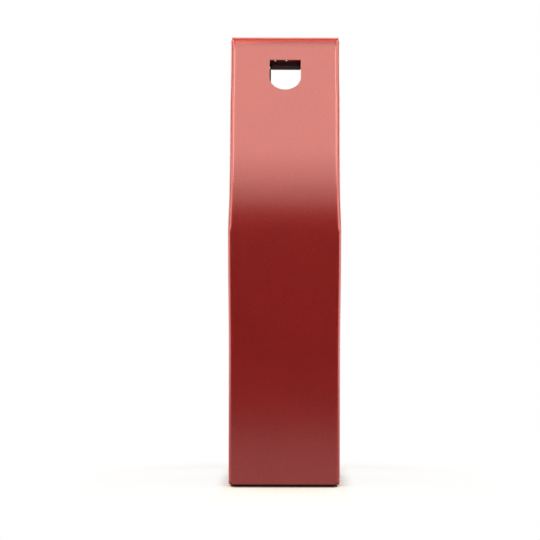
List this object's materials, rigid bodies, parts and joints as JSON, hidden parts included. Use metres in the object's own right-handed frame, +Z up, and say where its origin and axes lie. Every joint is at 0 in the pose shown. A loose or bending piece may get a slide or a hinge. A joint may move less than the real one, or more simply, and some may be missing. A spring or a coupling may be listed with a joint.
{
  "type": "wine gift box",
  "caption": "Tall square embossed red board carton for a wine bottle; the upper front leans back in a soft bend under a hinged tuck lid, with D-shaped hand holes whose flaps fold in",
  "frame": {"origin": "middle of the base, at the bottom of the bounding box", "axes": "+Z up along the height, front towards -Y, +X to the viewer's right, seen from the front"},
  "size_m": [0.093, 0.093, 0.378],
  "materials": {
    "printed_board": "wine-red print on leather-grain embossed board, semi-gloss; grey-brown and plain inside",
    "board_inside": "plain grey-brown inside of the board, matt"
  },
  "bodies": {
    "carton": {"front_panel": "printed_board", "back_panel": "printed_board", "left_side_panel": "printed_board", "right_side_panel": "printed_board", "seam_flap": "board_inside", "bottom_front_flap": "printed_board", "bottom_back_flap": "printed_board", "bottom_left_flap": "board_inside", "bottom_right_flap": "board_inside"},
    "slope": {"front_slope": "printed_board", "left_ear": "printed_board", "right_ear": "printed_board"},
    "lid": {"lid_panel": "printed_board"},
    "tuck": {"tuck_flap": "printed_board"},
    "left_dust": {"left_dust_flap": "printed_board"},
    "right_dust": {"right_dust_flap": "printed_board"},
    "front_grip": {"front_handle_flap": "printed_board"},
    "back_grip": {"back_handle_flap": "printed_board"}
  },
  "joints": [
    {"name": "slope_hinge", "type": "hinge", "parent": "carton", "child": "slope", "pos_m": [0, -0.04497, 0.24814], "axis": [1, 0, 0], "range_deg": [0, 10]},
    {"name": "lid_hinge", "type": "hinge", "parent": "slope", "child": "lid", "pos_m": [0, -0.02395, 0.37618], "axis": [1, 0, 0], "range_deg": [0, 120]},
    {"name": "tuck_hinge", "type": "hinge", "parent": "lid", "child": "tuck", "pos_m": [0, 0.0429, 0.378], "axis": [1, 0, 0], "range_deg": [0, 36]},
    {"name": "left_dust_hinge", "type": "hinge", "parent": "carton", "child": "left_dust", "pos_m": [-0.0465, 0.01, 0.3747], "axis": [0, -1, 0], "range_deg": [0, 100]},
    {"name": "right_dust_hinge", "type": "hinge", "parent": "carton", "child": "right_dust", "pos_m": [0.0465, 0.01, 0.3747], "axis": [0, 1, 0], "range_deg": [0, 100]},
    {"name": "front_handle_hinge", "type": "hinge", "parent": "slope", "child": "front_grip", "pos_m": [0, -0.0264, 0.35766], "axis": [-1, 0, 0], "range_deg": [-20, 97]},
    {"name": "back_handle_hinge", "type": "hinge", "parent": "carton", "child": "back_grip", "pos_m": [0, 0.0457, 0.3578], "axis": [1, 0, 0], "range_deg": [-20, 97]}
  ],
  "couplings": [
    {"joint": "slope_hinge", "follows": "lid_hinge", "ratio": 0.083333},
    {"joint": "tuck_hinge", "follows": "lid_hinge", "ratio": 0.3},
    {"joint": "left_dust_hinge", "follows": "lid_hinge", "ratio": 0.83333},
    {"joint": "right_dust_hinge", "follows": "lid_hinge", "ratio": 0.83333}
  ]
}
